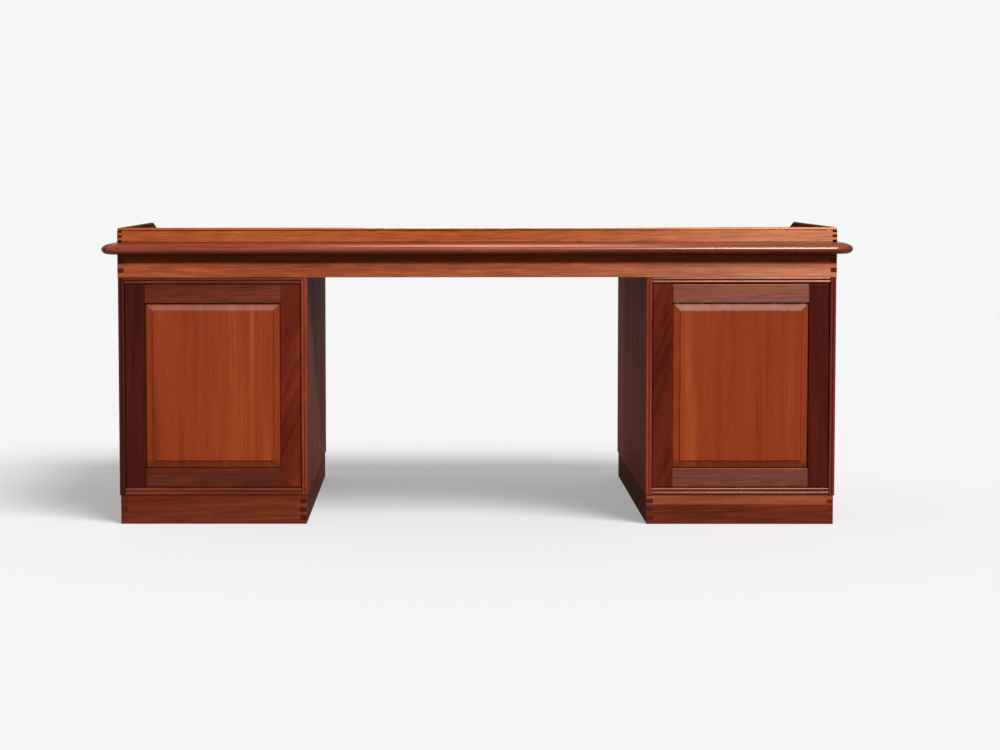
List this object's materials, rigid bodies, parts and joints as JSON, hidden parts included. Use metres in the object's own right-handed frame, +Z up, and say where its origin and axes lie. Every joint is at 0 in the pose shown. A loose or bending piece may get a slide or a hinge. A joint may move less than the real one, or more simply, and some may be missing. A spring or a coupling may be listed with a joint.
{
  "type": "partners desk",
  "caption": "Mahogany pedestal desk with a galleried top, moulded nosing, finger-jointed frieze and plinths, raised-panel cupboard doors facing the visitor and drawers facing the user.",
  "frame": {"origin": "on the floor under the middle of the top", "axes": "+X along the desk, to the right as the visitor sees it; -Y towards the visitor, +Y towards the user; +Z up"},
  "size_m": [2.008, 1.008, 0.797],
  "materials": {
    "mahogany": "satin polished mahogany",
    "mahogany_panel": "satin polished mahogany, ribbon figured",
    "beech": "waxed, plain",
    "brass": "satin",
    "steel": "plated",
    "latch_plastic": "moulded"
  },
  "bodies": {
    "desk": {"top_panel": "mahogany", "nosing_visitor": "mahogany", "nosing_user": "mahogany", "nosing_left": "mahogany", "nosing_right": "mahogany", "gallery_visitor": "mahogany", "gallery_left": "mahogany", "gallery_right": "mahogany", "frieze_visitor": "mahogany", "frieze_user": "mahogany", "frieze_left": "mahogany", "frieze_right": "mahogany", "cross_bearers": "beech", "locating_tenons": "beech", "shelves": "mahogany", "shelf_cleats": "mahogany", "drawer_runners": "beech", "latch_cases": "latch_plastic", "plinth_left_visitor": "mahogany", "plinth_left_user": "mahogany", "plinth_left_inner": "mahogany", "plinth_left_outer": "mahogany", "case_left_inner_side": "mahogany", "case_left_outer_side": "mahogany", "case_left_bottom_board": "mahogany", "case_left_top_board": "mahogany", "case_left_divider": "mahogany", "plinth_right_visitor": "mahogany", "plinth_right_user": "mahogany", "plinth_right_inner": "mahogany", "plinth_right_outer": "mahogany", "case_right_inner_side": "mahogany", "case_right_outer_side": "mahogany", "case_right_bottom_board": "mahogany", "case_right_top_board": "mahogany", "case_right_divider": "mahogany"},
    "door_left": {"door_left_hinge_stile": "mahogany", "door_left_opening_stile": "mahogany", "door_left_rails": "mahogany", "door_left_panel": "mahogany_panel", "door_left_fittings": "brass"},
    "plunger_left": {"latch_left_plunger": "steel"},
    "drawer_left_top": {"drawer_left_top_front": "mahogany", "drawer_left_top_box": "beech"},
    "drawer_left_middle": {"drawer_left_middle_front": "mahogany", "drawer_left_middle_box": "beech"},
    "drawer_left_bottom": {"drawer_left_bottom_front": "mahogany", "drawer_left_bottom_box": "beech"},
    "door_right": {"door_right_hinge_stile": "mahogany", "door_right_opening_stile": "mahogany", "door_right_rails": "mahogany", "door_right_panel": "mahogany_panel", "door_right_fittings": "brass"},
    "plunger_right": {"latch_right_plunger": "steel"},
    "drawer_right_top": {"drawer_right_top_front": "mahogany", "drawer_right_top_box": "beech"},
    "drawer_right_middle": {"drawer_right_middle_front": "mahogany", "drawer_right_middle_box": "beech"},
    "drawer_right_bottom": {"drawer_right_bottom_front": "mahogany", "drawer_right_bottom_box": "beech"}
  },
  "joints": [
    {"name": "door_left_hinge", "type": "hinge", "parent": "desk", "child": "door_left", "pos_m": [-0.9275, -0.4495, 0.3725], "axis": [0, 0, -1], "range_deg": [0, 110]},
    {"name": "latch_left_plunger_slide", "type": "slide", "parent": "desk", "child": "plunger_left", "axis": [0, -1, 0], "range_m": [0, 0.012]},
    {"name": "drawer_left_top_slide", "type": "slide", "parent": "desk", "child": "drawer_left_top", "axis": [0, 1, 0], "range_m": [0, 0.4]},
    {"name": "drawer_left_middle_slide", "type": "slide", "parent": "desk", "child": "drawer_left_middle", "axis": [0, 1, 0], "range_m": [0, 0.4]},
    {"name": "drawer_left_bottom_slide", "type": "slide", "parent": "desk", "child": "drawer_left_bottom", "axis": [0, 1, 0], "range_m": [0, 0.4]},
    {"name": "door_right_hinge", "type": "hinge", "parent": "desk", "child": "door_right", "pos_m": [0.9275, -0.4495, 0.3725], "axis": [0, 0, 1], "range_deg": [0, 110]},
    {"name": "latch_right_plunger_slide", "type": "slide", "parent": "desk", "child": "plunger_right", "axis": [0, -1, 0], "range_m": [0, 0.012]},
    {"name": "drawer_right_top_slide", "type": "slide", "parent": "desk", "child": "drawer_right_top", "axis": [0, 1, 0], "range_m": [0, 0.4]},
    {"name": "drawer_right_middle_slide", "type": "slide", "parent": "desk", "child": "drawer_right_middle", "axis": [0, 1, 0], "range_m": [0, 0.4]},
    {"name": "drawer_right_bottom_slide", "type": "slide", "parent": "desk", "child": "drawer_right_bottom", "axis": [0, 1, 0], "range_m": [0, 0.4]}
  ],
  "couplings": [
    {"joint": "latch_left_plunger_slide", "follows": "door_left_hinge", "m_per_rad": 0.00625},
    {"joint": "latch_right_plunger_slide", "follows": "door_right_hinge", "m_per_rad": 0.00625}
  ]
}
